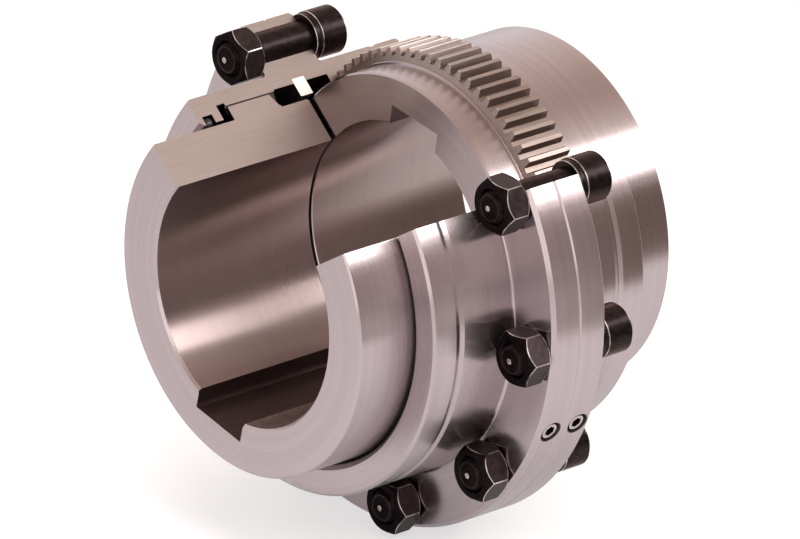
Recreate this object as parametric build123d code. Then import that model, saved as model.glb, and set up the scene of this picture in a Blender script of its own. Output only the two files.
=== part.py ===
"""Gear coupling for two shafts, with a sector cut out of it so that its inside can be seen.

Frame: millimetres, the shaft axis along X, +Z up, the origin on the axis where the two flanges meet.
The far half (+X) is drawn first and the near half (-X) is its mirror image.
Angles run round the axis from +Z towards -Y, the side from which the cut is seen.
"""
import os
from math import cos, radians, sin, tan

from build123d import *

os.makedirs("parts", exist_ok=True)

# Hubs
hub_length = 115.0
hub_gap = 2.0
hub_diameter = 210.0
nose_step = 0.5
bore_diameter = 152.0
hub_chamfer = 1.0
bore_chamfer = 1.5
bore_inner_chamfer = 0.5

# Keyways
key_width = 40.0
key_depth = 9.4
key_angle_near = -166.0
key_angle_far = 10.0

# Teeth
module = 2.8
pressure_angle = 20.0
tooth_width = 34.0
tooth_step = 4.2
tooth_addendum = 2.0
tooth_dedendum = 2.8
tooth_end_slope = 3.2
tooth_corner = 0.8
side_clearance = 0.2
tip_clearance = 1.0
crown = 0.12
tooth_angle_near = 2.3
tooth_angle_far = -0.2
mesh_float = 0.9

# Sleeves
sleeve_length = 79.0
barrel_wall = 8.2
flange_height = 34.0
flange_thickness = 20.0
flange_fillet = 2.0
flange_chamfer = 2.2
joint_chamfer = 1.0
barrel_chamfer = 1.5
end_clearance = 2.0
end_wall = 16.6
end_chamfer = 2.5
relief_width = 6.0
relief_depth = 1.8
cavity_depth = 1.0
cavity_lead = 1.5
groove_from_end = 17.5
groove_width = 4.5
groove_depth = 0.8

# Seals and centre ring
seal_thickness = 7.0
seal_from_end = 7.2
seal_running_clearance = 0.35
seal_seat_clearance = 0.1
ring_width = 9.0
ring_thickness = 11.8
ring_seat_depth = 3.0
ring_clearance = 0.1

# Bolts, nuts and washers
bolt_count = 10
bolt_inset = 16.0
bolt_diameter = 20.0
bolt_hole_clearance = 0.25
bolt_end = 3.0
bolt_end_chamfer = 2.0
head_diameter = 29.0
head_height = 19.0
head_chamfer = 1.0
socket_size = 17.0
socket_depth = 10.0
nut_size = 30.0
nut_height = 16.0
nut_chamfer = 3.0
nut_chamfer_angle = 45.0
washer_diameter = 27.5
washer_thickness = 3.5
nut_turns = [10.0, 24.0, -8.0, 17.0, 3.0, 28.0, -14.0, 20.0]

# Grease plugs
plug_diameter = 12.0
plug_length = 9.0
plug_recess = 1.0
plug_socket = 6.0
plug_socket_depth = 5.0
plug_hole_clearance = 0.1
plug_hole_chamfer = 1.0
grease_hole_diameter = 5.0

# The sector that is cut out
cut_middle = 5.8
cut_half = 53.0

# Sizes that follow
hub_inner_end = hub_gap / 2
hub_outer_end = hub_inner_end + hub_length
hub_radius = hub_diameter / 2
nose_radius = hub_radius - nose_step
bore_radius = bore_diameter / 2
tooth_count = round(2 * (hub_radius + tooth_step + tooth_dedendum) / module)
pitch_radius = module * tooth_count / 2
pitch_angle = 360 / tooth_count
tip_radius = pitch_radius + tooth_addendum
root_radius = pitch_radius - tooth_dedendum
wall_start = sleeve_length - end_wall
relief_start = wall_start - relief_width
tooth_end = relief_start - mesh_float
tooth_start = tooth_end - tooth_width
tooth_middle = tooth_start + tooth_width / 2
cavity_length = tooth_start - cavity_lead
space_half_width = module * radians(180) / 4
inner_tip_radius = root_radius + tip_clearance
inner_root_radius = tip_radius + tip_clearance
cavity_radius = inner_root_radius + cavity_depth
relief_radius = inner_root_radius + relief_depth
barrel_radius = relief_radius + barrel_wall
flange_radius = barrel_radius + flange_height
bolt_circle = 2 * (flange_radius - bolt_inset)
end_radius = hub_radius + end_clearance
ring_radius = cavity_radius + ring_seat_depth
seal_middle = sleeve_length - seal_from_end
seal_radius = hub_radius + seal_running_clearance + seal_thickness / 2
bolt_radius = bolt_diameter / 2
first_bolt_angle = cut_middle + 1.5 * 360 / bolt_count
bolts_left = bolt_count - 2
reach = flange_radius + bolt_diameter


def turned(points):
    """Solid of revolution about X from points (distance along the axis, radius)."""
    return revolve(make_face(Polyline(*points, close=True)), Axis.X)


def around(shape, angle):
    """A shape drawn at the top, turned round the shaft axis to its angle."""
    return Rot(angle, 0, 0) * shape


def mirrored(shape):
    """The near-side copy of a far-side shape."""
    return mirror(shape, about=Plane.YZ)


def box_between(low, high):
    """A box from its lowest to its highest corner."""
    size = [high[i] - low[i] for i in range(3)]
    centre = [(high[i] + low[i]) / 2 for i in range(3)]
    return Pos(*centre) * Box(*size)


def bar(points, start, end):
    """A prism along X, from its outline (across, height) at the top of the coupling."""
    section = Plane(origin=(start, 0, 0), x_dir=(0, 1, 0), z_dir=(1, 0, 0))
    return extrude(section * make_face(Polyline(*points, close=True)), amount=end - start)


def cut_sector():
    """The wedge that opens the coupling, from the axis outwards."""
    spread = reach / cos(radians(cut_half))
    sides = [cut_middle - cut_half, cut_middle + cut_half]
    corners = [(-spread * sin(radians(a)), spread * cos(radians(a))) for a in sides]
    return bar([(0, 0)] + corners, -hub_outer_end - reach, hub_outer_end + reach)


def crowned_gap():
    """The gap between two hub teeth, a little wider towards both ends of the teeth."""
    half_width = pitch_radius * radians(pitch_angle) / 2 - space_half_width + side_clearance
    slope = tan(radians(pressure_angle + pitch_angle / 4))
    inner, outer = root_radius, tip_radius + 2 * module
    flat = tooth_width / 6
    run_out = 4 * module
    relief_out = crown * (1 + run_out / (tooth_width / 2 - flat))
    stations = [
        (tooth_middle - tooth_width / 2 - run_out, relief_out),
        (tooth_middle - flat, 0),
        (tooth_middle + flat, 0),
        (tooth_middle + tooth_width / 2 + run_out, relief_out),
    ]

    def corner(station, side, height):
        x, relief = station
        across = half_width + relief + (height - pitch_radius) * slope
        return (x, side * across, height)

    faces = []
    for height in (inner, outer):
        there = [corner(s, -1, height) for s in stations]
        back = [corner(s, 1, height) for s in reversed(stations)]
        faces.append(Face(Wire.make_polygon(there + back)))
    for side in (-1, 1):
        for a, b in zip(stations, stations[1:]):
            flank = [corner(a, side, inner), corner(b, side, inner)]
            flank += [corner(b, side, outer), corner(a, side, outer)]
            faces.append(Face(Wire.make_polygon(flank)))
    for s in (stations[0], stations[-1]):
        end = [corner(s, -1, inner), corner(s, 1, inner), corner(s, 1, outer), corner(s, -1, outer)]
        faces.append(Face(Wire.make_polygon(end)))
    return Solid(Shell(faces))


def sleeve_space():
    """The straight space between two inner teeth of a sleeve, which takes one hub tooth."""
    slope = tan(radians(pressure_angle - pitch_angle / 4))
    inner, outer = inner_tip_radius - module, inner_root_radius
    low = space_half_width + (pitch_radius - inner) * slope
    high = space_half_width + (pitch_radius - outer) * slope
    outline = [(-low, inner), (low, inner), (high, outer), (-high, outer)]
    return bar(outline, cavity_length - module, tooth_end + relief_width / 2)


def hub(key_angle, tooth_angle):
    """A hub with its bore, keyway and crowned outer teeth."""
    start, end = hub_inner_end, hub_outer_end
    nose, body = nose_radius, hub_radius
    blank = turned([
        (start + bore_inner_chamfer, bore_radius),
        (start, bore_radius + bore_inner_chamfer),
        (start, nose - hub_chamfer),
        (start + hub_chamfer, nose),
        (tooth_start, nose),
        (tooth_start + tooth_end_slope, tip_radius),
        (tooth_end - tooth_corner, tip_radius),
        (tooth_end, tip_radius - tooth_corner),
        (tooth_end, body),
        (end - hub_chamfer, body),
        (end, body - hub_chamfer),
        (end, bore_radius + bore_chamfer),
        (end - bore_chamfer, bore_radius),
    ])
    gap = crowned_gap()
    gaps = [around(gap, tooth_angle + (k + 0.5) * pitch_angle) for k in range(tooth_count)]
    key_top = bore_radius + key_depth
    keyway = box_between((start - 1, -key_width / 2, 0), (end + 1, key_width / 2, key_top))
    return blank - gaps - around(keyway, key_angle)


def bolt_angles():
    """The angles of the bolts that the cut leaves."""
    return [first_bolt_angle + k * 360 / bolt_count for k in range(bolts_left)]


def plug_angle():
    """The grease plugs lie half-way between the second and third bolts from the cut."""
    return first_bolt_angle + 1.5 * 360 / bolt_count


def grease_hole():
    """The stepped radial hole through a flange: a seat for the plug, and a bore to the cavity."""
    top, x = flange_radius, flange_thickness / 2
    seat = plug_diameter / 2 + plug_hole_clearance
    depth = plug_recess + plug_length
    mouth = seat + plug_hole_chamfer
    steps = [(0, top + 1), (mouth + 1, top + 1), (seat, top - plug_hole_chamfer), (seat, top - depth)]
    steps += [(grease_hole_diameter / 2, top - depth), (grease_hole_diameter / 2, inner_tip_radius)]
    steps += [(0, inner_tip_radius)]
    outline = Plane.XZ * make_face(Polyline(*steps, close=True))
    return Pos(x, 0, 0) * revolve(outline, Axis.Z)


def sleeve(tooth_angle):
    """A flanged sleeve with straight inner teeth, a seal groove and its bolt holes."""
    recess_x = ring_width / 2 + ring_clearance
    recess_r = ring_radius + ring_clearance
    seal_low, seal_high = seal_middle - seal_thickness / 2, seal_middle + seal_thickness / 2
    seal_low -= seal_seat_clearance
    seal_high += seal_seat_clearance
    seal_top = seal_radius + seal_thickness / 2 + seal_seat_clearance
    groove_x = sleeve_length - groove_from_end
    blank = turned([
        (0, recess_r),
        (0, flange_radius - joint_chamfer),
        (joint_chamfer, flange_radius),
        (flange_thickness - flange_chamfer, flange_radius),
        (flange_thickness, flange_radius - flange_chamfer),
        (flange_thickness, barrel_radius),
        (sleeve_length - barrel_chamfer, barrel_radius),
        (sleeve_length, barrel_radius - barrel_chamfer),
        (sleeve_length, end_radius + end_chamfer),
        (sleeve_length - end_chamfer, end_radius),
        (seal_high, end_radius),
        (seal_high, seal_top),
        (seal_low, seal_top),
        (seal_low, end_radius),
        (wall_start, end_radius),
        (wall_start, relief_radius),
        (relief_start, relief_radius),
        (relief_start, inner_tip_radius),
        (cavity_length, inner_tip_radius),
        (cavity_length, cavity_radius),
        (recess_x, cavity_radius),
        (recess_x, recess_r),
    ])
    root = blank.edges().filter_by(GeomType.CIRCLE)
    root = [e for e in root if abs(e.radius - barrel_radius) < 0.01]
    root = [e for e in root if abs(e.center().X - flange_thickness) < 0.01]
    blank = fillet(root, flange_fillet)
    groove_top = barrel_radius + groove_depth
    groove = turned([
        (groove_x - groove_width, groove_top),
        (groove_x - groove_width / 4, barrel_radius - groove_depth),
        (groove_x + groove_width / 4, barrel_radius - groove_depth),
        (groove_x + groove_width, groove_top),
    ])
    space = sleeve_space()
    spaces = []
    for k in range(tooth_count):
        angle = tooth_angle + k * pitch_angle
        from_middle = (angle - cut_middle + 180) % 360 - 180
        if abs(from_middle) > cut_half - pitch_angle:
            spaces.append(around(space, angle))
    hole_radius = bolt_radius + bolt_hole_clearance
    hole = Pos(flange_thickness / 2, 0, bolt_circle / 2) * Rot(0, 90, 0) * Cylinder(
        hole_radius, flange_thickness + 2)
    holes = [around(hole, angle) for angle in bolt_angles()]
    return blank - groove - holes - around(grease_hole(), plug_angle()) - spaces


def seal():
    """A round-section seal ring in its groove, just clear of the hub."""
    return revolve(Pos(seal_middle, seal_radius) * Circle(seal_thickness / 2), Axis.X)


def centre_ring():
    """The plain ring held between the two flanges."""
    half = ring_width / 2
    inner = ring_radius - ring_thickness
    return turned([(-half, inner), (half, inner), (half, ring_radius), (-half, ring_radius)])


def hexagon(across_flats):
    """A hexagon across the X axis, by the distance between its flats."""
    corner = across_flats / 2 / cos(radians(30))
    return [(corner * cos(radians(60 * k)), corner * sin(radians(60 * k))) for k in range(6)]


def bolt():
    """A fitted bolt along X with a round socket head on the far side."""
    tip = -flange_thickness - nut_height - bolt_end
    under = flange_thickness + washer_thickness
    top = under + head_height
    head = head_diameter / 2
    body = turned([
        (tip, 0),
        (tip, bolt_radius - bolt_end_chamfer),
        (tip + bolt_end_chamfer, bolt_radius),
        (under, bolt_radius),
        (under, head - head_chamfer),
        (under + head_chamfer, head),
        (top - head_chamfer, head),
        (top, head - head_chamfer),
        (top, 0),
    ])
    return body - bar(hexagon(socket_size), top - socket_depth, top + 1)


def nut(turn):
    """A hexagon nut with both ends turned down at the corners."""
    start, end = -flange_thickness - nut_height, -flange_thickness
    corner = nut_size / 2 / cos(radians(30))
    drop = nut_chamfer * tan(radians(nut_chamfer_angle))
    blank = bar(hexagon(nut_size), start, end)
    turned_down = turned([
        (start, 0),
        (start, corner - nut_chamfer),
        (start + drop, corner),
        (end - drop, corner),
        (end, corner - nut_chamfer),
        (end, 0),
    ])
    middle = (start + end) / 2
    hole = Pos(middle, 0, 0) * Rot(0, 90, 0) * Cylinder(bolt_radius, nut_height)
    return around(blank & turned_down, turn) - hole


def washer():
    """A plain round washer under a bolt head."""
    inner = bolt_radius + bolt_hole_clearance
    outer = washer_diameter / 2
    start, end = flange_thickness, flange_thickness + washer_thickness
    return turned([(start, inner), (start, outer), (end, outer), (end, inner)])


def plug():
    """A grease plug with a hexagon socket, standing in its hole at the top of the far flange."""
    top = flange_radius - plug_recess
    body = Pos(0, 0, top - plug_length / 2) * Cylinder(plug_diameter / 2, plug_length)
    socket = extrude(Pos(0, 0, top) * make_face(Polyline(*hexagon(plug_socket), close=True)),
                     amount=-plug_socket_depth)
    return Pos(flange_thickness / 2, 0, 0) * (body - socket)


opening = cut_sector()
hub_far = hub(key_angle_far, tooth_angle_far)
hub_near = mirrored(hub(key_angle_near, tooth_angle_near)) - opening
parts = {
    "hub_far": hub_far,
    "hub_near": hub_near,
    "sleeve_far": sleeve(tooth_angle_far) - opening,
    "sleeve_near": mirrored(sleeve(tooth_angle_near)) - opening,
    "seal_far": seal() - opening,
    "seal_near": mirrored(seal()) - opening,
    "centre_ring": centre_ring() - opening,
    "grease_plug_far": around(plug(), plug_angle()),
    "grease_plug_near": mirrored(around(plug(), plug_angle())),
}
for number, (angle, turn) in enumerate(zip(bolt_angles(), nut_turns), start=1):
    seat = Rot(angle, 0, 0) * Pos(0, 0, bolt_circle / 2)
    parts[f"bolt_{number:02d}"] = seat * bolt()
    parts[f"nut_{number:02d}"] = seat * nut(turn)
    parts[f"washer_{number:02d}"] = seat * washer()

for name, shape in parts.items():
    export_step(shape, f"parts/{name}.step")
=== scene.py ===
"""Gear coupling for two shafts, opened by a cut-out sector, dressed for the render.

Metres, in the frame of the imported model: the shaft axis along X, +Z up, the origin on the axis where the two
flanges meet. Angles run round the axis from the top towards -Y, the side that the camera sees.
"""
from math import radians

import bpy
import numpy as np
from mathutils import Matrix, Vector


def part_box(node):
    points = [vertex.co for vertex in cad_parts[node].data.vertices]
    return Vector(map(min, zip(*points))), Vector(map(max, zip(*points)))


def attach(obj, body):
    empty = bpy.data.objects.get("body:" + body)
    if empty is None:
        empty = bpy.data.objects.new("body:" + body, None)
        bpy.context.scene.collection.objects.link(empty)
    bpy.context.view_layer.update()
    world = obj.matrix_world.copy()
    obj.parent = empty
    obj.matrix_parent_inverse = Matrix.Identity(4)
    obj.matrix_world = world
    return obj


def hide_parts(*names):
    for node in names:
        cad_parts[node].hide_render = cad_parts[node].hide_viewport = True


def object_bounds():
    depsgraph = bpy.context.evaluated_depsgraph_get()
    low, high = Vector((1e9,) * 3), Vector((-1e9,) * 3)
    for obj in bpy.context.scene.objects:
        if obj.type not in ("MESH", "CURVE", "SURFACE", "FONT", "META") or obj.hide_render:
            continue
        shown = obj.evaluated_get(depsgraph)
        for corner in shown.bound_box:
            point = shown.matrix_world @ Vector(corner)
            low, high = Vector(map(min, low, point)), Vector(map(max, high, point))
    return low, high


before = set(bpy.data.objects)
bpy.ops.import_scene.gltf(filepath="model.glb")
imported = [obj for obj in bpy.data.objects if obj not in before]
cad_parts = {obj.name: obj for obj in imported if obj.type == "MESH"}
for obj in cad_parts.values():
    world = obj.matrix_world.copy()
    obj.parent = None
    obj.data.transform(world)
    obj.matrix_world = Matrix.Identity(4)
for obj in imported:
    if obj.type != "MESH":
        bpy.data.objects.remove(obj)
cad_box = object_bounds()

# The two hubs are turned from steel bar, bored and keyed for their shafts. Their crowned teeth are hobbed,
# dark on the flanks, with a painted glint along the tips: a bright strip that stands in for their highlight.
# The near hub is the far one's mirror image with the sector milled out.
mm = 0.001
whole_turn = 2 * np.pi
hub_low, hub_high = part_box("hub_far")
hub_start, hub_end = hub_low[0], hub_high[0]
tip_radius = hub_high[1]
module = 2.8 * mm
pressure_angle = radians(20)
pitch_radius = tip_radius - 2.0 * mm
tooth_count = round(2 * pitch_radius / module)
tooth_pitch = whole_turn / tooth_count
root_radius = pitch_radius - 2.8 * mm
hub_radius = root_radius - 4.2 * mm
nose_radius = hub_radius - 0.5 * mm
bore_radius = 76 * mm
hub_chamfer = 1.0 * mm
bore_chamfer = 1.5 * mm
bore_inner_chamfer = 0.5 * mm
tooth_start = 21.5 * mm
tooth_slope = 3.2 * mm
tooth_end = 55.5 * mm
tooth_corner = 0.8 * mm
tooth_middle = (tooth_start + tooth_end) / 2
tooth_edge = 0.25 * mm
bead_width, bead_height, bead_edge = 0.8 * mm, 1.6 * mm, 0.3 * mm
root_round = 0.6 * mm
space_half = module * np.pi / 4
side_clearance = 0.2 * mm
crown = 0.12 * mm
crown_rows = 9
key_half = 20 * mm
key_top = 85.4 * mm
far_tooth_angle, near_tooth_angle = radians(-0.2), radians(2.3)
far_key_angle, near_key_angle = radians(10), radians(-166)


def skin(name, x, radius, angle, ring=True):
    """A closed surface over a grid of rows, one behind another, and columns round the shaft axis.

    Point (i, j) lies at x[i, j] along the axis, at radius[i, j] from it and at angle[i, j] round it. The last
    column joins the first. With ring, the last row joins the first too, and without it a flat face closes
    each end.
    """
    x, radius, angle = np.broadcast_arrays(x, radius, angle)
    points = np.stack([x, -radius * np.sin(angle), radius * np.cos(angle)], axis=-1)
    return closed_mesh(name, points, ring)


def closed_mesh(name, points, ring):
    """A mesh of four-sided faces over a grid of points, its faces turned outwards by the sign of its volume.

    The volume is a sixth of the sum, over the faces' two triangles, of one corner dotted with the cross
    product of the other two.
    """
    rows, columns = points.shape[:2]
    index = np.arange(rows * columns).reshape(rows, columns)
    below, above = (index, np.roll(index, -1, axis=0)) if ring else (index[:-1], index[1:])
    quads = np.stack([below, above, np.roll(above, -1, axis=1), np.roll(below, -1, axis=1)], axis=-1)
    quads = quads.reshape(-1, 4)
    flat = points.reshape(-1, 3)
    a, b, c, d = (flat[quads[:, k]] - flat.mean(axis=0) for k in range(4))
    volume = np.einsum("ij,ij->", a, np.cross(b, c) + np.cross(c, d))
    faces = quads.tolist()
    if not ring:
        faces += [index[0].tolist(), index[-1, ::-1].tolist()]
    if volume < 0:
        faces = [face[::-1] for face in faces]
    mesh = bpy.data.meshes.new(name)
    mesh.from_pydata(flat, [], faces)
    piece = bpy.data.objects.new(name, mesh)
    bpy.context.collection.objects.link(piece)
    return piece


def smooth(piece, edge=28):
    """Smooth shading, broken where two faces meet at more than the edge angle."""
    piece.data.shade_smooth()
    piece.data.set_sharp_from_angle(angle=radians(edge))


def involute(radius):
    """The involute of a circle at a radius: tan(a) - a, where cos(a) is the base radius over the radius."""
    a = np.arccos(np.minimum(pitch_radius * np.cos(pressure_angle) / radius, 1))
    return np.tan(a) - a


def tooth_columns(radii, half_width, phase):
    """Angles and radii of the columns round the axis that follow the flanks of every tooth.

    The half angle of a tooth at a radius is its half width over the pitch radius, plus the involute at the
    pitch circle, less the involute there. radii goes from the tooth's top to the gap's bottom, and its first
    and last stand for the middle of the tooth and of the gap. half_width may be one per row.
    """
    half_width = np.atleast_1d(half_width)[:, None]
    flank = half_width / pitch_radius + involute(pitch_radius) - involute(np.array(radii[1:-1]))
    middle = np.zeros_like(half_width)
    there = np.concatenate([middle, flank, middle + tooth_pitch / 2], axis=1)
    back = tooth_pitch - flank[:, ::-1]
    one = np.concatenate([there, back], axis=1)
    angles = phase + one[:, None, :] + tooth_pitch * np.arange(tooth_count)[None, :, None]
    heights = np.tile(np.concatenate([radii, radii[-2:0:-1]]), tooth_count)
    return angles.reshape(len(half_width), -1), heights


def keyed_bore(angle, key_angle):
    """Columns round the bore, moved to the keyway's four corners, and how far out its wall lies at each.

    In the keyway the wall is the nearer of its flat floor, key_top / cos(a), and its side, key_half / sin(a).
    """
    corners = [np.arcsin(key_half / bore_radius), np.arctan2(key_half, key_top)]
    angle = angle.copy()
    from_key = (angle - key_angle + np.pi) % whole_turn - np.pi
    for corner in corners + [-c for c in corners]:
        nearest = np.abs(from_key - corner).argmin()
        angle[nearest] += corner - from_key[nearest]
        from_key[nearest] = corner
    within = np.abs(from_key) < corners[0] - 1e-9
    side = np.maximum(np.abs(np.sin(from_key)), 1e-6)
    wall = np.minimum(key_top / np.cos(from_key), key_half / side)
    return angle, np.where(within, wall, bore_radius)


def hub_skin(name, tooth_angle, key_angle):
    """The far-side hub. Its section runs round from the bore's inner end over the nose, a narrow bead at the
    teeth's feet, the teeth and the body.

    In the toothed rows each point lies at the section's radius or at the tooth's, whichever is less.
    """
    radii = np.array([tip_radius, tip_radius, tip_radius - tooth_edge, pitch_radius,
                      root_radius + root_round, root_radius, root_radius])
    steps = np.unique(np.append(radii, tip_radius - tooth_corner))
    nose = np.array([
        (hub_start, bore_radius + bore_inner_chamfer), (hub_start, nose_radius - hub_chamfer),
        (hub_start + hub_chamfer, nose_radius), (tooth_start - bead_width, nose_radius),
        (tooth_start - bead_width + bead_edge, nose_radius + bead_height - bead_edge),
        (tooth_start - bead_width + 2 * bead_edge, nose_radius + bead_height),
        (tooth_start + bead_edge, nose_radius + bead_height)])
    foot = nose_radius + bead_height
    rise = bead_edge + (tooth_slope - bead_edge) * (steps - foot) / (tip_radius - foot)
    front = np.stack([tooth_start + rise, steps], axis=1)
    run = np.linspace(tooth_start + tooth_slope, tooth_end - tooth_corner, crown_rows)[1:]
    along = np.stack([run, np.full(len(run), tip_radius)], axis=1)
    down = steps[steps < tip_radius - tooth_corner / 2][::-1]
    back = np.stack([np.full(len(down), tooth_end), down], axis=1)
    body = np.array([
        (tooth_end, hub_radius), (hub_end - hub_chamfer, hub_radius), (hub_end, hub_radius - hub_chamfer),
        (hub_end, bore_radius + bore_chamfer)])
    bore = np.array([(hub_end - bore_chamfer, bore_radius), (hub_start + bore_inner_chamfer, bore_radius)])
    toothed = np.concatenate([front, along, back])
    rows = np.concatenate([nose, toothed, body, bore])
    from_middle = (toothed[:, 0] - tooth_middle) / (tooth_end - tooth_middle)
    width = space_half - side_clearance - crown * from_middle ** 2
    angles, heights = tooth_columns(radii, width, tooth_angle)
    plain = tooth_columns(radii, space_half - side_clearance, tooth_angle)[0]
    angle = np.tile(plain, (len(rows), 1))
    radius = np.tile(rows[:, 1:], (1, plain.shape[1]))
    teeth = slice(len(nose), len(nose) + len(toothed))
    angle[teeth] = angles
    radius[teeth] = np.minimum(radius[teeth], heights)
    bored_angle, bored = keyed_bore(plain[0], key_angle)
    for row in (0, -1, -2, -3):
        angle[row] = bored_angle
        radius[row] = np.maximum(radius[row], bored)
    return skin(name, rows[:, :1], radius, angle)


def mirrored(piece):
    """Turns a far-side piece into the near-side one: x changes sign and the faces are turned over."""
    piece.data.transform(Matrix.Scale(-1, 4, (1, 0, 0)))
    piece.data.flip_normals()


cut_middle, cut_half = radians(5.8), radians(53)


def take_away(piece, tool):
    """Cuts the tool out of the piece. The new faces take its second material, and the tool is removed."""
    tool.data.polygons.foreach_set("material_index", np.ones(len(tool.data.polygons), dtype=np.int32))
    for mesh in (piece.data, tool.data):
        while len(mesh.materials) < 3:
            mesh.materials.append(None)
    cut = piece.modifiers.new("cut", "BOOLEAN")
    cut.operation, cut.solver, cut.object = "DIFFERENCE", "MANIFOLD", tool
    shaped = bpy.data.meshes.new_from_object(piece.evaluated_get(bpy.context.evaluated_depsgraph_get()))
    piece.modifiers.remove(cut)
    piece.data = shaped
    bpy.data.objects.remove(tool)


def open_sector(piece):
    """Mills the sector out of a piece: a wedge from the axis outwards, along the whole coupling."""
    reach = 0.4
    angle = cut_middle + cut_half * np.array([0, -1, 1])
    radius = np.array([0, 1, 1]) * reach
    x = np.array([-reach, reach])[:, None]
    take_away(piece, skin("sector", x, radius, angle, ring=False))


def new_material(name):
    """A material, with its nodes, its links and its shader."""
    material = bpy.data.materials.new(name)
    material.use_nodes = True
    tree = material.node_tree
    return material, tree.nodes, tree.links, tree.nodes["Principled BSDF"]


def tint_glances(material, tone):
    """Colours what a material mirrors at a glancing angle."""
    material.node_tree.nodes["Principled BSDF"].inputs["Specular Tint"].default_value = (*tone, 1)


def turned_steel(name, tone, shine, lathe_lines=1.0, drawn_out=0.88):
    """Steel from the lathe: fine rings round the axis in colour, shine and relief, which draw out highlights.

    The rings are noise over the distance along the axis and from it, which hardly changes round the axis.
    """
    material, nodes, links, shader = new_material(name)
    place = nodes.new("ShaderNodeTexCoord")
    split = nodes.new("ShaderNodeSeparateXYZ")
    links.new(place.outputs["Object"], split.inputs[0])
    across = nodes.new("ShaderNodeCombineXYZ")
    links.new(split.outputs["Y"], across.inputs["Y"])
    links.new(split.outputs["Z"], across.inputs["Z"])
    out = nodes.new("ShaderNodeVectorMath")
    out.operation = "LENGTH"
    links.new(across.outputs[0], out.inputs[0])
    turn = nodes.new("ShaderNodeMath")
    turn.operation = "ARCTAN2"
    links.new(split.outputs["Y"], turn.inputs[0])
    links.new(split.outputs["Z"], turn.inputs[1])

    def rings(per_metre, around, detail):
        spread = nodes.new("ShaderNodeCombineXYZ")
        for source, socket, scale in (
                (split.outputs["X"], "X", per_metre), (out.outputs["Value"], "Y", per_metre),
                (turn.outputs[0], "Z", around)):
            times = nodes.new("ShaderNodeMath")
            times.operation = "MULTIPLY"
            times.inputs[1].default_value = scale
            links.new(source, times.inputs[0])
            links.new(times.outputs[0], spread.inputs[socket])
        noise = nodes.new("ShaderNodeTexNoise")
        noise.inputs["Scale"].default_value = 1.0
        noise.inputs["Detail"].default_value = detail
        links.new(spread.outputs[0], noise.inputs["Vector"])
        return noise.outputs["Fac"]

    fine = rings(per_metre=2200, around=1.2, detail=3)
    broad = rings(per_metre=260, around=0.7, detail=2)
    cloud = nodes.new("ShaderNodeTexNoise")
    cloud.inputs["Scale"].default_value = 14
    links.new(place.outputs["Object"], cloud.inputs["Vector"])

    def blend(factor, low, high):
        ramp = nodes.new("ShaderNodeMapRange")
        ramp.inputs["From Min"].default_value = 0.3
        ramp.inputs["From Max"].default_value = 0.7
        ramp.inputs["To Min"].default_value = low
        ramp.inputs["To Max"].default_value = high
        links.new(factor, ramp.inputs["Value"])
        return ramp.outputs["Result"]

    colour = nodes.new("ShaderNodeMix")
    colour.data_type = "RGBA"
    colour.inputs["A"].default_value = (*[0.95 * c for c in tone], 1)
    colour.inputs["B"].default_value = (*[min(1.04 * c, 1) for c in tone], 1)
    links.new(blend(broad, 0.5 - 0.5 * lathe_lines, 0.5 + 0.5 * lathe_lines), colour.inputs["Factor"])
    links.new(colour.outputs["Result"], shader.inputs["Base Color"])
    both = nodes.new("ShaderNodeMath")
    both.operation = "ADD"
    links.new(blend(fine, shine - 0.012 * lathe_lines, shine + 0.012 * lathe_lines), both.inputs[0])
    links.new(blend(cloud.outputs["Fac"], -0.02, 0.02), both.inputs[1])
    links.new(both.outputs[0], shader.inputs["Roughness"])
    relief = nodes.new("ShaderNodeBump")
    relief.inputs["Strength"].default_value = 0.03 * lathe_lines
    relief.inputs["Distance"].default_value = 0.01 * mm
    links.new(fine, relief.inputs["Height"])
    links.new(relief.outputs[0], shader.inputs["Normal"])
    shader.inputs["Metallic"].default_value = 1.0
    shader.inputs["Anisotropic"].default_value = drawn_out
    shader.inputs["Anisotropic Rotation"].default_value = 0.25
    grain = nodes.new("ShaderNodeVectorMath")
    grain.operation = "CROSS_PRODUCT"
    grain.inputs[0].default_value = (1, 0, 0)
    links.new(across.outputs[0], grain.inputs[1])
    links.new(grain.outputs["Vector"], shader.inputs["Tangent"])
    return material


def milled_steel(name, tone, shine, scratches=1.0):
    """Milled or hobbed faces: steel with fine straight scratches along the shaft, a little aslant."""
    material, nodes, links, shader = new_material(name)
    place = nodes.new("ShaderNodeTexCoord")
    stretch = nodes.new("ShaderNodeMapping")
    stretch.inputs["Rotation"].default_value = (0, radians(4), radians(5))
    stretch.inputs["Scale"].default_value = (50, 1300, 1300)
    links.new(place.outputs["Object"], stretch.inputs["Vector"])
    scratch = nodes.new("ShaderNodeTexNoise")
    scratch.inputs["Scale"].default_value = 1.0
    scratch.inputs["Detail"].default_value = 6
    scratch.inputs["Roughness"].default_value = 0.65
    links.new(stretch.outputs[0], scratch.inputs["Vector"])
    colour = nodes.new("ShaderNodeValToRGB")
    colour.color_ramp.elements[0].position = 0.25
    colour.color_ramp.elements[0].color = (*[(1 - 0.28 * scratches) * c for c in tone], 1)
    colour.color_ramp.elements[1].position = 0.75
    colour.color_ramp.elements[1].color = (*[min((1 + 0.16 * scratches) * c, 1) for c in tone], 1)
    links.new(scratch.outputs["Fac"], colour.inputs["Fac"])
    links.new(colour.outputs["Color"], shader.inputs["Base Color"])
    rough = nodes.new("ShaderNodeMapRange")
    rough.inputs["To Min"].default_value = shine - 0.06
    rough.inputs["To Max"].default_value = shine + 0.08
    links.new(scratch.outputs["Fac"], rough.inputs["Value"])
    links.new(rough.outputs["Result"], shader.inputs["Roughness"])
    relief = nodes.new("ShaderNodeBump")
    relief.inputs["Strength"].default_value = 0.3
    relief.inputs["Distance"].default_value = 0.03 * mm
    links.new(scratch.outputs["Fac"], relief.inputs["Height"])
    links.new(relief.outputs[0], shader.inputs["Normal"])
    shader.inputs["Metallic"].default_value = 1.0
    return material


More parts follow.
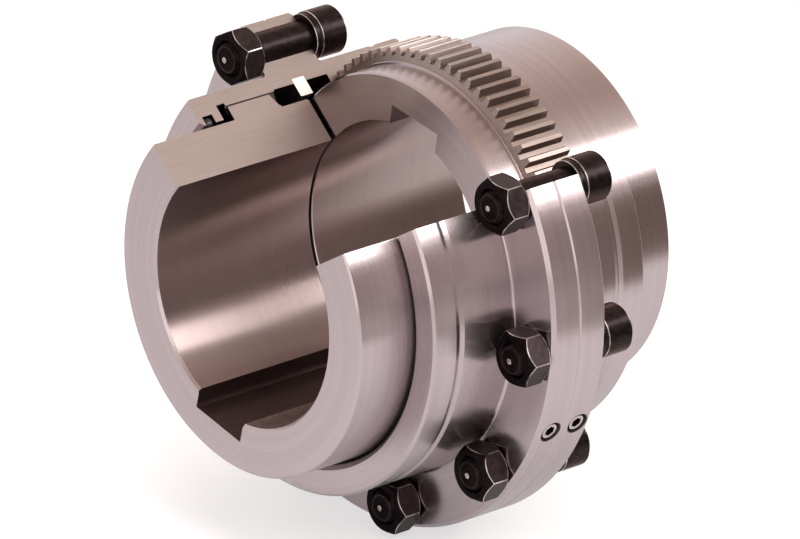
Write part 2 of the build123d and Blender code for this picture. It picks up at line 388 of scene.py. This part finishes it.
hub_steel = turned_steel("turned_hub_steel", (0.5, 0.432, 0.445), 0.26)
cut_steel = milled_steel("milled_cut_steel", (0.355, 0.297, 0.276), 0.46, 0.45)
tooth_steel = milled_steel("hobbed_tooth_steel", (0.36, 0.295, 0.272), 0.4, 1.5)
tint_glances(tooth_steel, (0.7, 0.62, 0.58))
bore_steel = turned_steel("honed_bore_steel", (0.43, 0.345, 0.338), 0.29, 0.6, 0.95)
key_steel = milled_steel("broached_keyway_steel", (0.152, 0.11, 0.106), 0.4)
land_steel = milled_steel("tooth_top_steel", (0.44, 0.37, 0.345), 0.36)
flank_steel = milled_steel("tooth_flank_steel", (0.275, 0.215, 0.2), 0.42, 1.5)
tint_glances(flank_steel, (0.6, 0.5, 0.46))
# Painted glint: a bright strip along the teeth's tips stands in for the highlight their edges catch.
edge_steel = milled_steel("painted_glint_tooth_edges", (0.72, 0.66, 0.61), 0.4, 0.3)


def finish_by_place(piece, key_angle):
    """Gives the hub's faces their finishes, each by its place in hub_finishes. The cut's faces keep theirs.

    A face belongs to the teeth by its distance from the axis, to the keyway by its angle round it, and to the
    bore where it looks at the axis: where the dot product of its middle and its normal across the axis is
    negative. On a flank that product is under 0.6 times the distance from the axis.
    """
    turned, tooth_ends, bore, keyway, tooth_tops, tooth_edges, flanks = 0, 2, 3, 4, 5, 6, 7
    faces = len(piece.data.polygons)
    finish = np.zeros(faces, dtype=np.int32)
    middle, normal = np.zeros(3 * faces), np.zeros(3 * faces)
    piece.data.polygons.foreach_get("material_index", finish)
    piece.data.polygons.foreach_get("center", middle)
    piece.data.polygons.foreach_get("normal", normal)
    middle, normal = middle.reshape(-1, 3), normal.reshape(-1, 3)
    out = np.hypot(middle[:, 1], middle[:, 2])
    from_key = (np.arctan2(-middle[:, 1], middle[:, 2]) - key_angle + np.pi) % whole_turn - np.pi
    lengthwise = (finish == turned) & (np.abs(normal[:, 0]) < 0.3)
    facing = (middle[:, 1:] * normal[:, 1:]).sum(axis=1)
    in_key = (np.abs(from_key) < np.arcsin(key_half / bore_radius) + 1e-4) & (out < key_top + 2 * mm)
    finish[(finish == turned) & (out > nose_radius + bead_height + 0.05 * mm)] = tooth_ends
    finish[(finish == tooth_ends) & (out > tip_radius - 0.02 * mm)] = tooth_tops
    finish[(finish == tooth_ends) & (out > tip_radius - tooth_edge)] = tooth_edges
    finish[(finish == tooth_ends) & lengthwise & (facing < 0.6 * out)] = flanks
    finish[lengthwise & (facing < 0) & (out < bore_radius + 0.01 * mm)] = bore
    finish[lengthwise & in_key] = keyway
    piece.data.polygons.foreach_set("material_index", finish)


def settle(piece, materials, body, slot, *nodes):
    """Shades a finished piece, gives it its materials, and lets it ride on its body in place of its nodes."""
    while len(piece.data.materials) < len(materials):
        piece.data.materials.append(None)
    for place, material in enumerate(materials):
        piece.data.materials[place] = material
    smooth(piece)
    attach(piece, body)
    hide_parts(*nodes)


hub_finishes = [hub_steel, cut_steel, tooth_steel, bore_steel, key_steel, land_steel, edge_steel, flank_steel]
far_hub = hub_skin("far_hub", far_tooth_angle, far_key_angle)
finish_by_place(far_hub, far_key_angle)
settle(far_hub, hub_finishes, "far_hub", "turned_steel", "hub_far")
near_hub = hub_skin("near_hub", near_tooth_angle, near_key_angle)
mirrored(near_hub)
open_sector(near_hub)
finish_by_place(near_hub, near_key_angle)
# Painted shade: a near-black steel stands in for the shade on the near hub's teeth, which lie inside the
# sleeves, and on all within the sleeves.
painted_shade_steel = milled_steel("painted_shade_dark_steel", (0.05, 0.04, 0.04), 0.4)
near_finishes = [hub_steel, cut_steel, painted_shade_steel, bore_steel, key_steel, painted_shade_steel, painted_shade_steel, painted_shade_steel]
settle(near_hub, near_finishes, "near_hub", "turned_steel", "hub_near")

# The two sleeves are turned from forgings, with straight inner teeth that the hubs' teeth slide in. Their
# flanges are drilled for the bolts and, through the rim, for grease. The near sleeve is the far one's mirror
# image.
sleeve_end, flange_radius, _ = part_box("sleeve_far")[1]
barrel_radius = 125 * mm
flange_end = 20 * mm
flange_fillet = 2.0 * mm
fillet_margin = 0.3 * mm
flange_chamfer = 2.2 * mm
joint_chamfer = 1.0 * mm
barrel_chamfer = 1.5 * mm
end_radius = hub_radius + 2 * mm
end_chamfer = 2.5 * mm
inner_tip = root_radius + 1.0 * mm
inner_root = tip_radius + 1.0 * mm
cavity_radius = inner_root + 1.0 * mm
relief_radius = inner_root + 1.8 * mm
cavity_end = tooth_start - 1.5 * mm
relief_start = tooth_end + 0.9 * mm
wall_start = relief_start + 6 * mm
groove_middle = sleeve_end - 19.4 * mm
groove_half, groove_floor = 3.0 * mm, 0.3 * mm
groove_depth = 0.8 * mm
barrel_crease = 14
seal_middle = sleeve_end - 7.2 * mm
seal_radius = hub_radius + 3.85 * mm
seal_half = 3.5 * mm
seat_clearance = 0.1 * mm
ring_half = 4.5 * mm
ring_radius = cavity_radius + 3 * mm
bolt_circle_radius = flange_radius - 16 * mm
bolt_step = whole_turn / 10
bolt_angles = cut_middle + 1.5 * bolt_step + bolt_step * np.arange(8)
bolt_radius = 10 * mm
hole_radius = bolt_radius + 0.25 * mm
plug_angle = cut_middle + 3 * bolt_step
plug_radius = 6 * mm
plug_recess = 1 * mm
plug_length = 9 * mm
grease_radius = 2.5 * mm


def sleeve_skin(name, tooth_angle):
    """The far-side sleeve. Its section runs from the joint over rim and barrel and back through the teeth.

    In the toothed rows each point lies at the section's radius or at the bottom of the space, whichever is
    more. A row close beside each end of the fillet keeps its shading off the flange's face and the barrel.
    """
    radii = np.array([inner_root, inner_root, inner_root - tooth_edge, pitch_radius,
                      inner_tip + tooth_edge, inner_tip, inner_tip])
    bend = np.linspace(0, np.pi / 2, 13)
    fillet = np.stack([flange_end + flange_fillet * (1 - np.cos(bend)),
                       barrel_radius + flange_fillet * (1 - np.sin(bend))], axis=1)
    beside = np.array([[0, fillet_margin], [fillet_margin, 0]])
    fillet = np.concatenate([fillet[:1] + beside[:1], fillet, fillet[-1:] + beside[1:]])
    groove = np.array([
        (groove_middle - groove_half, barrel_radius),
        (groove_middle - groove_floor, barrel_radius - groove_depth),
        (groove_middle + groove_floor, barrel_radius - groove_depth),
        (groove_middle + groove_half, barrel_radius)])
    outside = np.array([
        (0, ring_radius + seat_clearance), (0, flange_radius - joint_chamfer), (joint_chamfer, flange_radius),
        (flange_end - flange_chamfer, flange_radius), (flange_end, flange_radius - flange_chamfer)])
    end = np.array([
        (sleeve_end - barrel_chamfer, barrel_radius), (sleeve_end, barrel_radius - barrel_chamfer),
        (sleeve_end, end_radius + end_chamfer), (sleeve_end - end_chamfer, end_radius)])
    seat = seal_half + seat_clearance
    seal_groove = np.array([
        (seal_middle + seat, end_radius), (seal_middle + seat, seal_radius + seat),
        (seal_middle - seat, seal_radius + seat), (seal_middle - seat, end_radius)])
    wall = np.array([(wall_start, end_radius), (wall_start, relief_radius), (relief_start, relief_radius)])
    steps = np.unique(radii)
    tooth_back = np.stack([np.full(len(steps), relief_start), steps[::-1]], axis=1)
    tooth_front = np.stack([np.full(len(steps), cavity_end), steps], axis=1)
    recess = np.array([(cavity_end, cavity_radius), (ring_half + seat_clearance, cavity_radius),
                       (ring_half + seat_clearance, ring_radius + seat_clearance)])
    start = [outside, fillet, groove, end, seal_groove, wall]
    toothed = np.concatenate([tooth_back, tooth_front])
    rows = np.concatenate(start + [toothed, recess])
    first = sum(len(part) for part in start)
    angles, heights = tooth_columns(radii, space_half, tooth_angle)
    radius = np.tile(rows[:, 1:], (1, angles.shape[1]))
    teeth = slice(first, first + len(toothed))
    radius[teeth] = np.maximum(radius[teeth], heights)
    return skin(name, rows[:, :1], radius, angles)


def columns_round(count):
    """The angles of so many columns, evenly spaced over a whole turn."""
    return np.linspace(0, whole_turn, count, endpoint=False)


def drill(piece, side):
    """Drills the bolt holes through the flange and the stepped grease hole through its rim."""
    turn = columns_round(96)
    for angle in bolt_angles:
        x = side * np.array([-2 * mm, flange_end + 2 * mm])[:, None]
        drill_bit = skin("bolt_hole", x, hole_radius, turn, ring=False)
        middle = bolt_circle_radius * Vector((0, -np.sin(angle), np.cos(angle)))
        drill_bit.data.transform(Matrix.Translation(middle))
        take_away(piece, drill_bit)
    seat, top = plug_radius + 0.1 * mm, flange_radius
    seat_floor = top - plug_recess - plug_length
    profile = np.array([(top + 2 * mm, seat + 3 * mm), (top - 1 * mm, seat), (seat_floor, seat),
                        (seat_floor, grease_radius), (cavity_radius - 1 * mm, grease_radius)])
    drill_bit = skin("grease_hole", profile[:, :1], profile[:, 1:], turn, ring=False)
    stand_up(drill_bit, side * flange_end / 2, plug_angle)
    take_away(piece, drill_bit)


def paint_shade_inside(piece):
    """Gives the third material to the drilled faces and to all within the sleeve, which are painted dark for
    the shade inside.
    """
    faces = len(piece.data.polygons)
    drilled, middle = np.zeros(faces, dtype=np.int32), np.zeros(3 * faces)
    piece.data.polygons.foreach_get("material_index", drilled)
    piece.data.polygons.foreach_get("center", middle)
    middle = middle.reshape(-1, 3)
    x, out = np.abs(middle[:, 0]), np.hypot(middle[:, 1], middle[:, 2])
    inside = (x < wall_start + 0.1 * mm) & (x > 0.1 * mm) & (out < ring_radius + 0.2 * mm)
    in_wall = (x > wall_start + 0.1 * mm) & (x < seal_middle + seal_half)
    grooved = in_wall & (out < seal_radius + seal_half + 0.2 * mm)
    shaded = (drilled == 1) | inside | grooved
    piece.data.polygons.foreach_set("material_index", 2 * shaded.astype(np.int32))


def stand_up(piece, x, angle):
    """Turns a piece drawn along X outwards from the shaft axis, at x along it and at an angle round it."""
    outwards = Matrix.Rotation(angle, 4, "X") @ Matrix.Rotation(-np.pi / 2, 4, "Y")
    piece.data.transform(Matrix.Translation((x, 0, 0)) @ outwards)


sleeve_steel = turned_steel("turned_sleeve_steel", (0.5, 0.432, 0.445), 0.26, drawn_out=0.8)
for side, word, tooth_angle in ((1, "far", far_tooth_angle), (-1, "near", near_tooth_angle)):
    sleeve = sleeve_skin(f"{word}_sleeve", tooth_angle)
    if side < 0:
        mirrored(sleeve)
    drill(sleeve, side)
    # The sleeve's insides and drilled faces are painted dark: painted shade.
    paint_shade_inside(sleeve)
    open_sector(sleeve)
    settle(sleeve, [sleeve_steel, cut_steel, painted_shade_steel], "sleeves", "turned_steel", f"sleeve_{word}")
    smooth(sleeve, barrel_crease)  # the groove's flanks slope by more than this and stay crisp

# A round rubber seal lies in a groove in each sleeve's end wall, its ends rounded where the sector is cut
# out. A bright ground ring is held in a recess between the two flanges, and the sector is cut out of it too.
ring_depth = 11.8 * mm
ring_edge = 0.3 * mm
rubber, nodes, links, shader = new_material("seal_rubber_matt")
dust = nodes.new("ShaderNodeTexNoise")
dust.inputs["Scale"].default_value = 900
spot = nodes.new("ShaderNodeTexCoord")
links.new(spot.outputs["Object"], dust.inputs["Vector"])
shade = nodes.new("ShaderNodeValToRGB")
shade.color_ramp.elements[0].color = (0.006, 0.005, 0.005, 1)
shade.color_ramp.elements[1].color = (0.02, 0.017, 0.016, 1)
links.new(dust.outputs["Fac"], shade.inputs["Fac"])
links.new(shade.outputs["Color"], shader.inputs["Base Color"])
shader.inputs["Roughness"].default_value = 0.3
shader.inputs["Specular IOR Level"].default_value = 0.6


def seal_skin(name, side):
    """A round cord of rubber laid round the axis, row by row from one side of the cut to the other.

    At a distance d from either end the cord's radius is seal_half times the root of 1 - (1 - d / seal_half)
    squared, and from seal_half on it is seal_half.
    """
    dome = np.linspace(0.01, 1, 9)[:-1] * seal_half / seal_radius
    length, dome_end = whole_turn - 2 * cut_half, seal_half / seal_radius
    even = np.linspace(dome_end, length - dome_end, 400)
    along = np.concatenate([dome, even, length - dome[::-1]])[:, None]
    from_end = np.minimum(np.minimum(along, length - along) * seal_radius / seal_half, 1)
    thick = seal_half * np.sqrt(1 - (1 - from_end) ** 2)
    turn = columns_round(32)
    angle, out = cut_middle + cut_half + along, seal_radius + thick * np.sin(turn)
    x = side * (seal_middle + thick * np.cos(turn))
    points = np.stack([x, -out * np.sin(angle), out * np.cos(angle)], axis=-1)
    return closed_mesh(name, points, ring=False)


for side, word in ((1, "far"), (-1, "near")):
    settle(seal_skin(f"{word}_seal", side), [rubber], "sleeves", "seal_rubber", f"seal_{word}")
ring_steel = turned_steel("ground_ring_steel", (0.85, 0.83, 0.8), 0.4, 0.4)
ring_cut = milled_steel("milled_ring_steel", (1.0, 0.97, 0.93), 0.5, 0.4)
inside = ring_radius - ring_depth
corners = np.array([
    (-ring_half + ring_edge, inside), (ring_half - ring_edge, inside),
    (ring_half, inside + ring_edge), (ring_half, ring_radius - ring_edge),
    (ring_half - ring_edge, ring_radius), (-ring_half + ring_edge, ring_radius),
    (-ring_half, ring_radius - ring_edge), (-ring_half, inside + ring_edge)])
middle_ring = skin("middle_ring", corners[:, :1], corners[:, 1:], columns_round(480))
open_sector(middle_ring)
settle(middle_ring, [ring_steel, ring_cut], "sleeves", "ring_steel", "centre_ring")

# Eight fitted bolts hold the flanges together, each with a round socket head and a washer on the far side and
# a hexagon nut on the near side. They are blackened steel, rubbed bright along their edges, and the edges are
# painted lighter still for the highlights they catch: painted highlights.
turns = 96
around_bolt = columns_round(turns)
head_radius = 14.5 * mm
head_top = 42.5 * mm
head_edge = 1.0 * mm
socket_half = 8.5 * mm
socket_floor = head_top - 10 * mm
socket_chamfer = 0.4 * mm
washer_top = 23.5 * mm
washer_radius = 13.75 * mm
washer_edge = 0.3 * mm
nut_half = 15 * mm
nut_start, nut_end = -36 * mm, -20 * mm
nut_face = 14.32 * mm
nut_mouth = 1.2 * mm
nut_seat_chamfer = 0.5 * mm
bright_edge_width = 0.25 * mm
tip = -39 * mm
tip_chamfer = 2 * mm
tip_dome = 0.7 * mm
pip_height, pip_radius = 1.0 * mm, 2.6 * mm
thread_radius = bolt_radius - 0.1 * mm
thread_row = 0.2 * mm
thread_pitch = 2.5 * mm
thread_depth = 1.3 * mm
nut_turns = np.radians([10, 24, -8, 17, 3, 28, -14, 20])


def hexagon(angle, half):
    """How far out a hexagon lies at an angle: half its width across flats, over the cosine from the flat."""
    from_flat = (angle + np.pi / 6) % (np.pi / 3) - np.pi / 6
    return half / np.cos(from_flat)


def blackened_steel(name, tone, shine, thin=0.7, thick=1.5, patches=260):
    """Steel with a black oxide skin: nearly black, a little brown, its shine uneven and its tone patchy."""
    material, nodes, links, shader = new_material(name)
    place = nodes.new("ShaderNodeTexCoord")
    noise = nodes.new("ShaderNodeTexNoise")
    noise.inputs["Scale"].default_value = patches
    noise.inputs["Detail"].default_value = 5
    links.new(place.outputs["Object"], noise.inputs["Vector"])
    colour = nodes.new("ShaderNodeValToRGB")
    colour.color_ramp.elements[0].position = 0.3
    colour.color_ramp.elements[0].color = (*[thin * c for c in tone], 1)
    colour.color_ramp.elements[1].position = 0.7
    colour.color_ramp.elements[1].color = (*[thick * c for c in tone], 1)
    links.new(noise.outputs["Fac"], colour.inputs["Fac"])
    links.new(colour.outputs["Color"], shader.inputs["Base Color"])
    rough = nodes.new("ShaderNodeMapRange")
    rough.inputs["To Min"].default_value = shine - 0.1
    rough.inputs["To Max"].default_value = shine + 0.1
    links.new(noise.outputs["Fac"], rough.inputs["Value"])
    links.new(rough.outputs["Result"], shader.inputs["Roughness"])
    relief = nodes.new("ShaderNodeBump")
    relief.inputs["Strength"].default_value = 0.2
    relief.inputs["Distance"].default_value = 0.05 * mm
    links.new(noise.outputs["Fac"], relief.inputs["Height"])
    links.new(relief.outputs[0], shader.inputs["Normal"])
    shader.inputs["Metallic"].default_value = 0.85
    return material


def bolt_skin(name):
    """A bolt along X: its domed and threaded tip, shank, head and hexagon socket, row by row.

    The dome falls back by tip_dome times the square of the distance from the bolt's middle over the face's
    radius, and a small pip stands on it: pip_height times the root of one less the square of the distance
    over its radius. The thread's radius falls and rises by thread_depth in a triangle wave of x over the
    pitch less the turn round the bolt. The wave's crests and roots are cut flat, and the tip's cone cuts the
    thread off. The pip's top is painted bright, a painted glint, and the head's edges are rubbed bright and
    painted lighter still, a painted highlight.
    """
    face = bolt_radius - tip_chamfer
    pip_rows = pip_radius * np.sin(np.linspace(0.1, np.pi / 2, 8))
    out = np.append(pip_rows, np.linspace(0.45, 1, 5) * face)[:, None]
    pip = pip_height * np.sqrt(np.maximum(1 - (out / pip_radius) ** 2, 0))
    dome = tip + pip_height - pip + tip_dome * (out / face) ** 2
    thread_end = nut_start + 3 * mm
    rim = tip + pip_height + tip_dome
    run = np.arange(rim + 0.1 * mm, thread_end, thread_row)[:, None]
    wave = np.abs(2 * ((run / thread_pitch - around_bolt / whole_turn) % 1) - 1)
    thread = thread_radius - thread_depth * np.clip(1.25 * wave - 0.1, 0, 1)
    thread = np.minimum(thread, face + run - rim)
    low, high = washer_top + head_edge, head_top - head_edge
    rest = np.array([
        (thread_end, thread_radius), (nut_end, thread_radius), (nut_end, bolt_radius),
        (washer_top, bolt_radius), (washer_top, head_radius - head_edge),
        (low - bright_edge_width, head_radius - bright_edge_width), (low, head_radius), (low + bright_edge_width, head_radius),
        (high - bright_edge_width, head_radius), (high, head_radius),
        (high + bright_edge_width, head_radius - bright_edge_width), (head_top, head_radius - head_edge)])
    socket = hexagon(around_bolt, socket_half)[None, :]
    ones = np.ones(turns)
    x = np.concatenate([dome * ones, run * ones, rest[:, :1] * ones, head_top * ones[None],
                        (head_top - socket_chamfer) * ones[None], socket_floor * ones[None]])
    radius = np.concatenate([out * ones, thread, rest[:, 1:] * ones,
                             socket + socket_chamfer, socket, socket])
    piece = skin(name, x, radius, around_bolt, ring=False)
    first = len(dome) + len(run)
    pip_top, dome_rim = 3, len(dome) - 2
    edges = [first + k for k in (5, 6, 8, 9)]
    dull = list(range(pip_top, dome_rim)) + list(range(len(dome), first))
    brighten_rows(piece, list(range(pip_top)) + edges, turns, third_finish=dull)
    return piece


def brighten_rows(piece, rows, columns, corners=(), third_finish=()):
    """Gives the faces after these rows, and at these corner columns, the second material, which is bright, and
    those after the third_finish rows the third. On bolts, nuts and washers the bright faces are rubbed edges
    painted lighter still, a painted highlight, and on the bolt's pip a painted glint."""
    worn = np.zeros(len(piece.data.polygons), dtype=np.int32)
    for finish, places in ((2, third_finish), (1, rows)):
        for row in places:
            worn[row * columns:(row + 1) * columns] = finish
    for corner in corners:
        worn[rows[0] * columns + corner:(rows[-1] + 1) * columns:columns] = 1
    piece.data.polygons.foreach_set("material_index", worn)


def nut_skin(name, turn):
    """A hexagon nut. At both ends a cone of 45 degrees takes the corners off: each column starts down the
    side by as much as the hexagon stands out past the nut's round face. Its corners and the cones' edges are
    rubbed bright and painted lighter still, a painted highlight. Its flats take a lighter black."""
    corner = np.pi / 6 + np.pi / 3 * np.arange(6)
    bevel = radians(1.2)
    clear = np.abs(around_bolt[:, None] - corner).min(axis=1) > bevel
    columns = np.sort(np.concatenate([around_bolt[clear], corner - bevel, corner + bevel]))
    side = hexagon(columns, nut_half)
    drop = side - nut_face
    ones = np.ones(len(columns))
    hole = bolt_radius + 0.05 * mm
    mouth = bolt_radius + nut_mouth
    x = np.stack([
        (nut_start + nut_mouth) * ones, nut_start * ones, nut_start * ones,
        nut_start + drop - bright_edge_width, nut_start + drop, nut_start + drop + bright_edge_width,
        nut_end - drop - bright_edge_width, nut_end - drop, nut_end - drop + bright_edge_width,
        nut_end * ones, nut_end * ones, (nut_end - nut_seat_chamfer) * ones])
    radius = np.stack([
        hole * ones, mouth * ones, nut_face * ones,
        side - bright_edge_width, side, side, side, side, side - bright_edge_width,
        nut_face * ones, (hole + nut_seat_chamfer) * ones, hole * ones])
    piece = skin(name, x, radius, columns + turn)
    corners = [int(np.abs(columns - (c - bevel)).argmin()) for c in corner]
    brighten_rows(piece, [3, 4, 6, 7], len(columns), corners, third_finish=[5])
    return piece


def washer_skin(name):
    """A flat washer, closed round its hole, with small chamfers, rubbed bright and painted lighter still:
    painted highlights.
    """
    low, high, edge = flange_end, washer_top, washer_edge
    section = np.array([
        (low, hole_radius), (low, washer_radius - edge), (low + edge, washer_radius),
        (high - edge, washer_radius), (high, washer_radius - edge), (high, hole_radius)])
    piece = skin(name, section[:, :1], section[:, 1:], around_bolt)
    brighten_rows(piece, [1, 3], turns)
    return piece


black = blackened_steel("black_oxide", (0.018, 0.014, 0.0145), 0.3)
tint_glances(black, (0.85, 0.7, 0.67))
nut_black = blackened_steel("black_oxide_of_nuts", (0.008, 0.0055, 0.006), 0.3)
tint_glances(nut_black, (0.4, 0.33, 0.35))
# The nut's flats take a lighter, rougher black than the rest of the nut.
flat_black = blackened_steel("lighter_nut_flats", (0.034, 0.024, 0.025), 0.4)
# Painted highlight: rubbed edges, painted far lighter than the black, stand in for the highlights the edges
# catch, and on the bolt's pip for a glint.
rubbed_and_highlit = blackened_steel("rubbed_and_painted_highlight_edges", (0.36, 0.33, 0.32), 0.3, thin=0.06, thick=2.2, patches=130)
for number, (angle, turn) in enumerate(zip(bolt_angles, nut_turns), start=1):
    middle = bolt_circle_radius * Vector((0, -np.sin(angle), np.cos(angle)))
    seat = Matrix.Translation(middle) @ Matrix.Rotation(angle, 4, "X")
    for piece, finish, third_finish, node in (
            (bolt_skin(f"fitted_bolt_{number:02d}"), black, nut_black, "bolt"),
            (nut_skin(f"hexagon_nut_{number:02d}", turn), nut_black, flat_black, "nut"),
            (washer_skin(f"flat_washer_{number:02d}"), black, black, "washer")):
        piece.data.transform(seat)
        settle(piece, [finish, rubbed_and_highlit, third_finish], "sleeves", "black_steel", f"{node}_{number:02d}")

# A grease plug closes the hole in each flange's rim. It is a short blackened screw with a hexagon socket, a
# chamfered edge and a bright top face round the socket, sunk just below the rim.
plug_steel = turned_steel("plug_steel", (0.6, 0.54, 0.54), 0.35, 0.3)
plug_top = flange_radius - plug_recess
plug_socket = 3 * mm
plug_socket_depth = 5 * mm
plug_chamfer = 1 * mm
plug_columns = columns_round(48)
for side, word in ((1, "far"), (-1, "near")):
    six = hexagon(plug_columns, plug_socket)[None, :]
    ones = np.ones(len(plug_columns))
    rows = np.array([(plug_top - plug_length, plug_radius), (plug_top - plug_chamfer, plug_radius),
                     (plug_top, plug_radius - plug_chamfer)])
    x = np.concatenate([rows[:, :1] * ones, plug_top * ones[None],
                        (plug_top - plug_socket_depth) * ones[None]])
    radius = np.concatenate([rows[:, 1:] * ones, six, six])
    plug = skin(f"{word}_grease_plug", x, radius, plug_columns, ring=False)
    brighten_rows(plug, [2], len(plug_columns))
    stand_up(plug, side * flange_end / 2, plug_angle)
    settle(plug, [black, plug_steel], "sleeves", "black_steel", f"grease_plug_{word}")

# The studio: a wide pale floor under the flanges, toned down to the right in front where the metal mirrors
# it, a warm white world, a long softbox to the right that draws the highlights, a panel before the near end
# and a lamp overhead.
floor_level = cad_box[0][2]
wide = 30
toned_from, toned_to = 0.44, 0.58


def flat_sheet(name, corners):
    """One flat face between four corners."""
    plain = bpy.data.objects.new(name, bpy.data.meshes.new(name))
    plain.data.from_pydata(corners, [], [(0, 1, 2, 3)])
    bpy.context.collection.objects.link(plain)
    return plain


floor = flat_sheet("floor", [(-wide, -wide, floor_level), (wide, -wide, floor_level),
                             (wide, wide, floor_level), (-wide, wide, floor_level)])
paper, nodes, links, sheet = new_material("white_paper")
sheet.inputs["Roughness"].default_value = 0.9
sheet.inputs["Specular IOR Level"].default_value = 0.1
sheet.inputs["Emission Color"].default_value = (1, 1, 1, 1)
ground = nodes.new("ShaderNodeTexCoord")
ahead = nodes.new("ShaderNodeVectorMath")
ahead.operation = "DOT_PRODUCT"
ahead.inputs[1].default_value = (0.633, -0.774, 0)
links.new(ground.outputs["Object"], ahead.inputs[0])


def over_floor(near_value, far_value):
    """Runs from one value to the other where the floor passes half a metre to the right and in front."""
    ramp = nodes.new("ShaderNodeMapRange")
    ramp.interpolation_type = "SMOOTHSTEP"
    for socket, value in (("From Min", toned_from), ("From Max", toned_to),
                          ("To Min", near_value), ("To Max", far_value)):
        ramp.inputs[socket].default_value = value
    links.new(ahead.outputs["Value"], ramp.inputs["Value"])
    return ramp.outputs["Result"]


tint = nodes.new("ShaderNodeMix")
tint.data_type = "RGBA"
tint.inputs["A"].default_value = (0.44, 0.44, 0.455, 1)
tint.inputs["B"].default_value = (0.2, 0.17, 0.165, 1)
links.new(over_floor(0, 1), tint.inputs["Factor"])
links.new(tint.outputs["Result"], sheet.inputs["Base Color"])
path = nodes.new("ShaderNodeLightPath")
glow = None
for ray, near_value, far_value in (("Is Camera Ray", 0.6, 0.82), ("Is Glossy Ray", 0.32, 0.3),
                                   ("Is Transmission Ray", 0.32, 0.3)):
    share = nodes.new("ShaderNodeMath")
    share.operation = "MULTIPLY_ADD"
    share.inputs[2].default_value = 0
    links.new(over_floor(near_value, far_value), share.inputs[1])
    links.new(path.outputs[ray], share.inputs[0])
    if glow:
        links.new(glow, share.inputs[2])
    glow = share.outputs[0]
links.new(glow, sheet.inputs["Emission Strength"])
floor.data.materials.append(paper)

world = bpy.data.worlds.new("studio")
bpy.context.scene.world = world
world.use_nodes = True
nodes, links = world.node_tree.nodes, world.node_tree.links
direction = nodes.new("ShaderNodeTexCoord")
split = nodes.new("ShaderNodeSeparateXYZ")
links.new(direction.outputs["Generated"], split.inputs[0])
around = nodes.new("ShaderNodeMath")
around.operation = "ARCTAN2"
links.new(split.outputs["Y"], around.inputs[0])
links.new(split.outputs["Z"], around.inputs[1])
share = nodes.new("ShaderNodeMapRange")
share.inputs["From Min"].default_value = -np.pi / 2
share.inputs["From Max"].default_value = np.pi / 2
links.new(around.outputs[0], share.inputs["Value"])
sky = nodes.new("ShaderNodeValToRGB")
sky.color_ramp.elements[0].color = (0.46, 0.37, 0.35, 1)
sky.color_ramp.elements[1].color = (0.95, 0.93, 0.95, 1)
# Each tone of the sky stands so many degrees from straight up towards -Y.
for degrees, colour in ((64, (0.46, 0.37, 0.35)), (38, (1, 0.9, 0.82)), (20, (0.78, 0.64, 0.57)),
                        (6, (0.58, 0.45, 0.38)), (-12, (0.64, 0.51, 0.43)), (-34, (0.83, 0.69, 0.6)),
                        (-60, (0.95, 0.85, 0.82))):
    sky.color_ramp.elements.new((90 - degrees) / 180).color = (*colour, 1)
links.new(share.outputs["Result"], sky.inputs["Fac"])
low = nodes.new("ShaderNodeMath")
low.operation = "LESS_THAN"
low.inputs[1].default_value = 0
links.new(split.outputs["Z"], low.inputs[0])
horizon = nodes.new("ShaderNodeMix")
horizon.data_type = "RGBA"
horizon.inputs["B"].default_value = (1, 1, 1, 1)
links.new(low.outputs[0], horizon.inputs["Factor"])
links.new(sky.outputs["Color"], horizon.inputs["A"])
links.new(horizon.outputs["Result"], nodes["Background"].inputs["Color"])
nodes["Background"].inputs["Strength"].default_value = 1.15


def softbox(name, place, aim, size, power, colour, glossy):
    """A rectangular lamp that faces a point."""
    lamp = bpy.data.lights.new(name, "AREA")
    lamp.shape, lamp.size, lamp.size_y, lamp.energy, lamp.color = "RECTANGLE", *size, power, colour
    holder = bpy.data.objects.new(name, lamp)
    holder.location = place
    holder.rotation_euler = (Vector(place) - Vector(aim)).to_track_quat("Z", "Y").to_euler()
    holder.visible_camera = False
    holder.visible_glossy = glossy
    bpy.context.collection.objects.link(holder)


softbox("long_softbox", place=(0.8, -1.495, 1.29), aim=(0.8, 0, 0), size=(3.0, 0.86), power=39.5,
        colour=(1, 0.98, 0.95), glossy=True)
softbox("front_panel", place=(-2.6, -1.9, 0.5), aim=(0, 0, 0), size=(2.2, 2.2), power=17,
        colour=(1, 0.98, 0.96), glossy=True)
softbox("overhead", place=(-0.2, 0, 1.1), aim=(-0.2, 0, 0), size=(0.8, 0.8), power=9,
        colour=(1, 1, 1), glossy=False)

# A dark card hangs in front of the far half and darkens what mirrors it. The camera doesn't see it, and it
# throws no shadow.
card_start, card_end, card_place, card_low, card_top = 0.135, 1.0, -0.3, -0.09, 0.115
card = flat_sheet("dark_card", [(card_start, card_place, card_low), (card_end, card_place, card_low),
                                (card_end, card_place, card_top), (card_start, card_place, card_top)])
felt, _, _, nap = new_material("brown_felt")
nap.inputs["Base Color"].default_value = (0.05, 0.035, 0.03, 1)
nap.inputs["Emission Color"].default_value = (1, 0.7, 0.55, 1)
nap.inputs["Emission Strength"].default_value = 0.135
card.data.materials.append(felt)
card.visible_camera = card.visible_diffuse = card.visible_shadow = False

# The camera stands off the near end on the -Y side, a little above, and looks at the middle from six metres.
azimuth, elevation, distance = radians(-40.617), radians(21.608), 6.149
aim = Vector((-0.001, -0.0044, -0.0101))
back = Vector((np.sin(azimuth) * np.cos(elevation), -np.cos(azimuth) * np.cos(elevation), np.sin(elevation)))
camera = bpy.data.objects.new("camera", bpy.data.cameras.new("camera"))
camera.location = aim + distance * back
camera.rotation_euler = back.to_track_quat("Z", "Y").to_euler()
camera.data.sensor_width = 36
camera.data.lens = 483.7
camera.data.clip_end = 100
bpy.context.collection.objects.link(camera)
bpy.context.scene.camera = camera
bpy.context.scene.view_settings.view_transform = "Standard"
